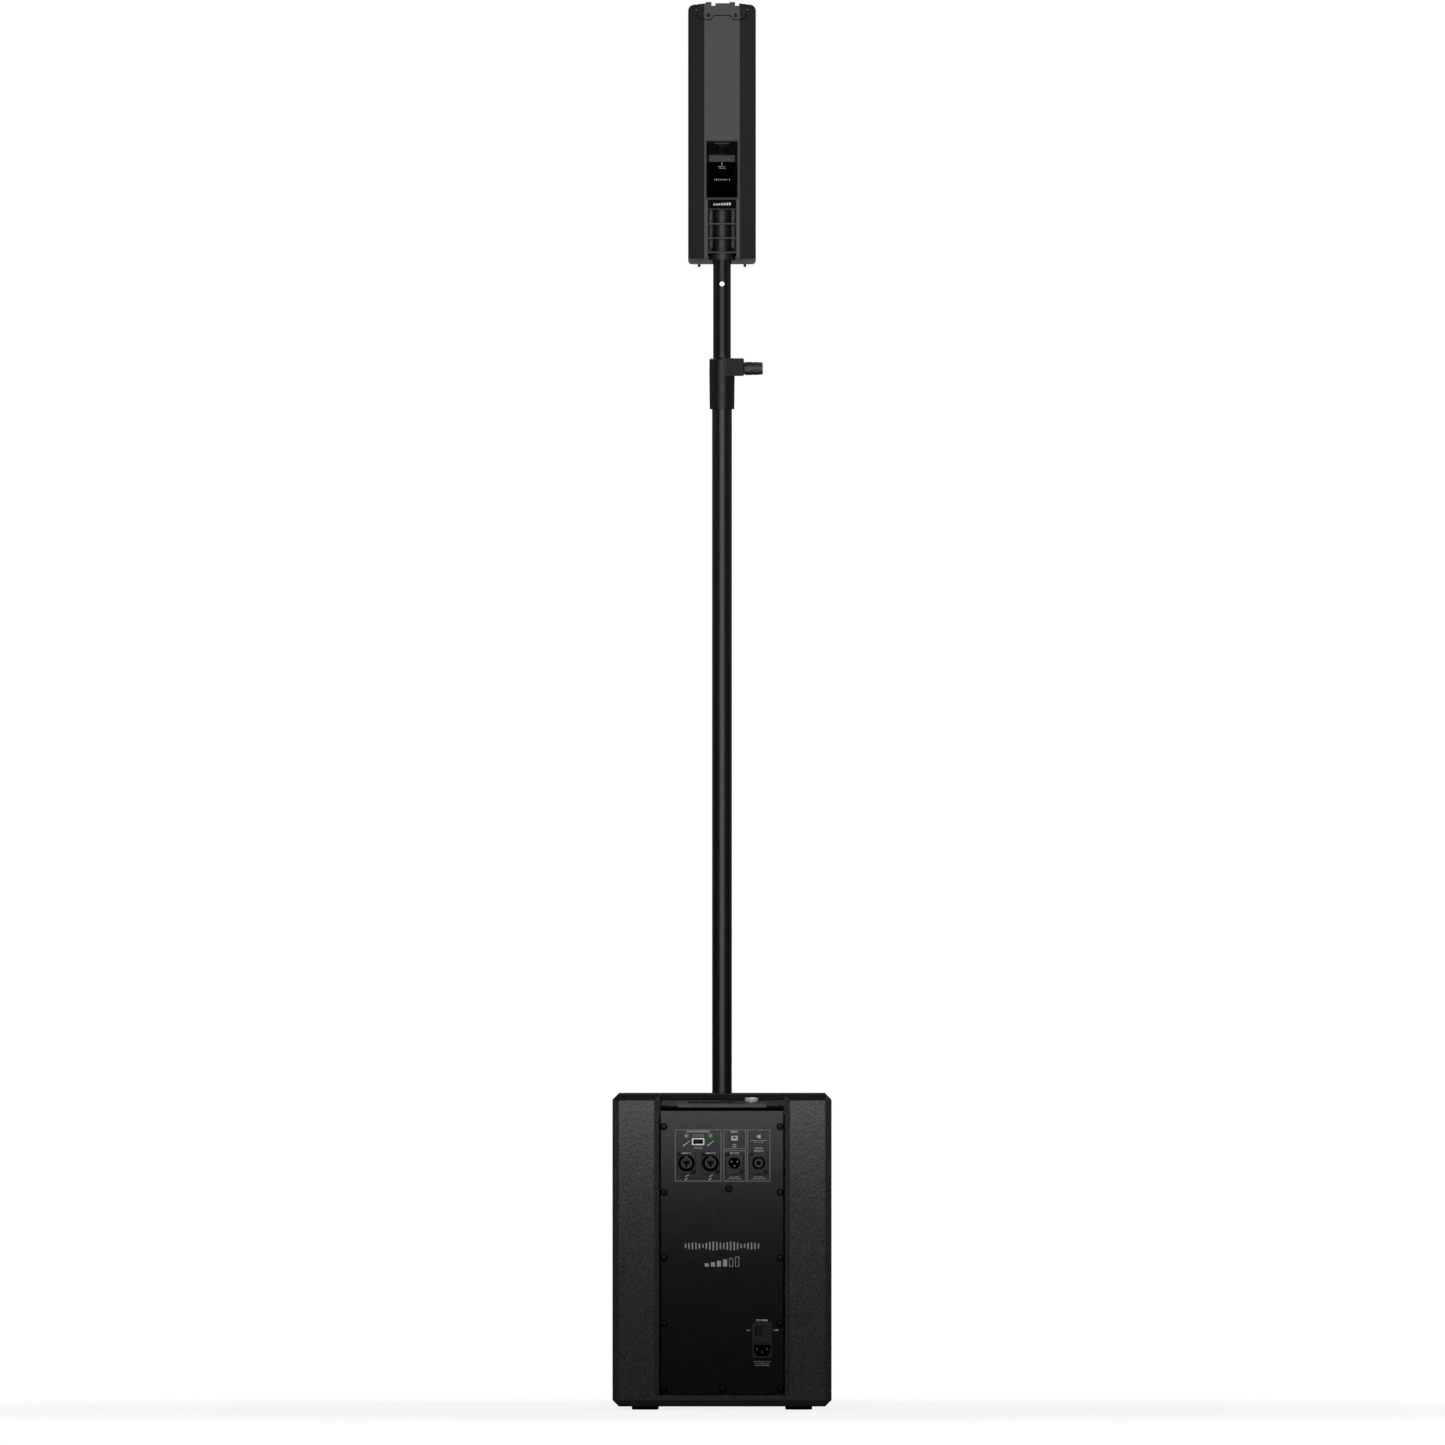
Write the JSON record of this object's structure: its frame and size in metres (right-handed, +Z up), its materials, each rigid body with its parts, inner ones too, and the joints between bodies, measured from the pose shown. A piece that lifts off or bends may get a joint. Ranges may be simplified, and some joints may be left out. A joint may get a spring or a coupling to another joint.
{
  "type": "pa speaker",
  "caption": "Portable column loudspeaker: a powered bass cabinet with rear controls and sockets, a telescopic pole with a clamp collar, and a slim column speaker on top.",
  "frame": {"origin": "on the floor under the middle of the bass cabinet's footprint", "axes": "+Z up along the pole, +Y to the connector side, -Y to the grille side, +X to the left as seen from behind"},
  "size_m": [0.309, 0.36, 1.9879],
  "materials": {
    "circuit_board": "green solder mask",
    "heatsink": "anodised aluminium",
    "panel_paint": "smooth satin black paint on steel",
    "moulding": "fine grained black moulding",
    "cabinet_paint": "fine textured black paint on plywood",
    "black_screw": "black zinc plated steel",
    "gloss_tray": "gloss black moulding",
    "collar_nylon": "glass filled black nylon",
    "knob_plastic": "fluted black plastic",
    "plated_steel": "nickel plated",
    "bush_nylon": "natural black nylon",
    "baffle_board": "black stained plywood",
    "column_trim": "satin black moulding",
    "grille_steel": "black powder coat on perforated steel",
    "column_paint": "satin black moulded shell",
    "connector_black": "glass filled black nylon",
    "contact_metal": "silver plated contacts",
    "deck_moulding": "textured black moulding",
    "control_face": "satin dark grey moulding",
    "display_glass": "smoked polished window",
    "guide_pin": "blackened steel guide pins",
    "cone_paper": "coated black paper",
    "driver_steel": "black coated pressed steel",
    "magnet_steel": "zinc plated steel and ferrite",
    "bright_knob": "turned and polished bright metal",
    "inlet_black": "smooth black moulding",
    "foam": "open-cell black foam",
    "latch_nylon": "black nylon",
    "gloss_label": "plain gloss black plate",
    "pole_paint": "satin black powder coat",
    "panel_screw": "black zinc plated steel",
    "cup_metal": "black powder coat",
    "socket_nylon": "glass filled black nylon",
    "rocker_black": "smooth black moulding",
    "reset_black": "dark moulded button",
    "foot_rubber": "black rubber",
    "stud_metal": "metal tipped studs",
    "light_green": "translucent green lens",
    "pale_surround": "pale printed surround",
    "copper": "enamelled copper on a paper former",
    "spider_cloth": "resin treated cloth",
    "surround_rubber": "soft black rubber"
  },
  "bodies": {
    "bass_unit": {"cabinet": "cabinet_paint", "front_baffle": "baffle_board", "front_grille": "grille_steel", "grille_foam": "foam", "bass_port": "moulding", "woofer_frame": "driver_steel", "woofer_surround": "surround_rubber", "woofer_spider": "spider_cloth", "woofer_magnet": "magnet_steel", "rubber_feet": "foot_rubber", "cabinet_screws": "black_screw", "pole_cup": "cup_metal", "control_deck": "deck_moulding", "control_plate": "control_face", "display_window": "display_glass", "encoder_base": "plated_steel", "amplifier_panel": "panel_paint", "panel_screws": "panel_screw", "amplifier_heatsink": "heatsink", "amplifier_board": "circuit_board", "input_jacks": "connector_black", "mix_output": "connector_black", "column_output": "connector_black", "contact_pins": "contact_metal", "usb_port": "pale_surround", "status_lights": "light_green", "power_inlet": "inlet_black"},
    "woofer_moving": {"woofer_cone": "cone_paper", "dust_cap": "cone_paper", "voice_coil": "copper"},
    "encoder_push": {"encoder_plunger": "moulding"},
    "encoder_dial": {"encoder_shaft": "plated_steel", "encoder_knob": "bright_knob"},
    "latch_a": {"input_latch_a": "latch_nylon"},
    "latch_b": {"input_latch_b": "latch_nylon"},
    "reset": {"reset_button": "reset_black"},
    "power_switch": {"power_rocker": "rocker_black"},
    "fuse_holder": {"fuse_drawer": "inlet_black"},
    "lower_pole": {"lower_tube": "pole_paint", "clamp_collar": "collar_nylon", "collar_bush": "bush_nylon"},
    "clamp_screw": {"clamp_stud": "plated_steel", "clamp_knob": "knob_plastic"},
    "upper_pole": {"upper_tube": "pole_paint"},
    "swivel": {"swivel_plug": "bush_nylon"},
    "column": {"column_housing": "column_paint", "column_top_cap": "column_paint", "stacking_studs": "stud_metal", "column_screws": "black_screw", "column_base": "column_trim", "dock_pins": "guide_pin", "pole_socket": "socket_nylon", "label_plate": "gloss_label", "cable_pocket": "gloss_tray", "column_input": "connector_black", "column_baffle": "baffle_board", "column_grille": "grille_steel", "driver_frames": "driver_steel", "driver_magnets": "magnet_steel"},
    "column_cones": {"driver_cones": "cone_paper"}
  },
  "joints": [
    {"name": "woofer_travel", "type": "slide", "parent": "bass_unit", "child": "woofer_moving", "axis": [0, 1, 0], "range_m": [-0.005, 0.005], "stiffness_N_per_m": 3000},
    {"name": "encoder_press", "type": "slide", "parent": "bass_unit", "child": "encoder_push", "axis": [0, -0.0796, -0.9968], "range_m": [0, 0.0005], "stiffness_N_per_m": 800, "springref_m": -0.0008},
    {"name": "encoder_turn", "type": "hinge", "parent": "encoder_push", "child": "encoder_dial", "pos_m": [-0.0416, 0.139, 0.43318], "axis": [0, 0.0796, 0.9968], "continuous": true},
    {"name": "latch_a_press", "type": "slide", "parent": "bass_unit", "child": "latch_a", "axis": [0, -1, 0], "range_m": [0, 0.001], "stiffness_N_per_m": 200, "springref_m": -0.0005},
    {"name": "latch_b_press", "type": "slide", "parent": "bass_unit", "child": "latch_b", "axis": [0, -1, 0], "range_m": [0, 0.001], "stiffness_N_per_m": 200, "springref_m": -0.0005},
    {"name": "reset_press", "type": "slide", "parent": "bass_unit", "child": "reset", "axis": [0, -1, 0], "range_m": [0, 0.0006], "stiffness_N_per_m": 200, "springref_m": -0.0005},
    {"name": "power_rock", "type": "hinge", "parent": "bass_unit", "child": "power_switch", "pos_m": [-0.0565, 0.164, 0.112], "axis": [0, 0, 1], "range_deg": [-14, 0]},
    {"name": "fuse_drawer_slide", "type": "slide", "parent": "bass_unit", "child": "fuse_holder", "axis": [0, 1, 0], "range_m": [0, 0.014]},
    {"name": "pole_lift", "type": "slide", "parent": "bass_unit", "child": "lower_pole", "axis": [0, 0, 1], "range_m": [0, 0.1]},
    {"name": "clamp_turn", "type": "hinge", "parent": "lower_pole", "child": "clamp_screw", "pos_m": [-0.04, 0, 1.4691], "axis": [-1, 0, 0], "range_deg": [0, 360]},
    {"name": "pole_extension", "type": "slide", "parent": "lower_pole", "child": "upper_pole", "axis": [0, 0, 1], "range_m": [-0.125, 0.3]},
    {"name": "column_swivel", "type": "hinge", "parent": "upper_pole", "child": "swivel", "pos_m": [0, 0, 1.69], "axis": [0, 0, 1], "continuous": true},
    {"name": "column_lift", "type": "slide", "parent": "swivel", "child": "column", "axis": [0, 0, 1], "range_m": [0, 0.08]},
    {"name": "column_cone_travel", "type": "slide", "parent": "column", "child": "column_cones", "axis": [0, 1, 0], "range_m": [-0.001, 0.001], "stiffness_N_per_m": 2000}
  ]
}
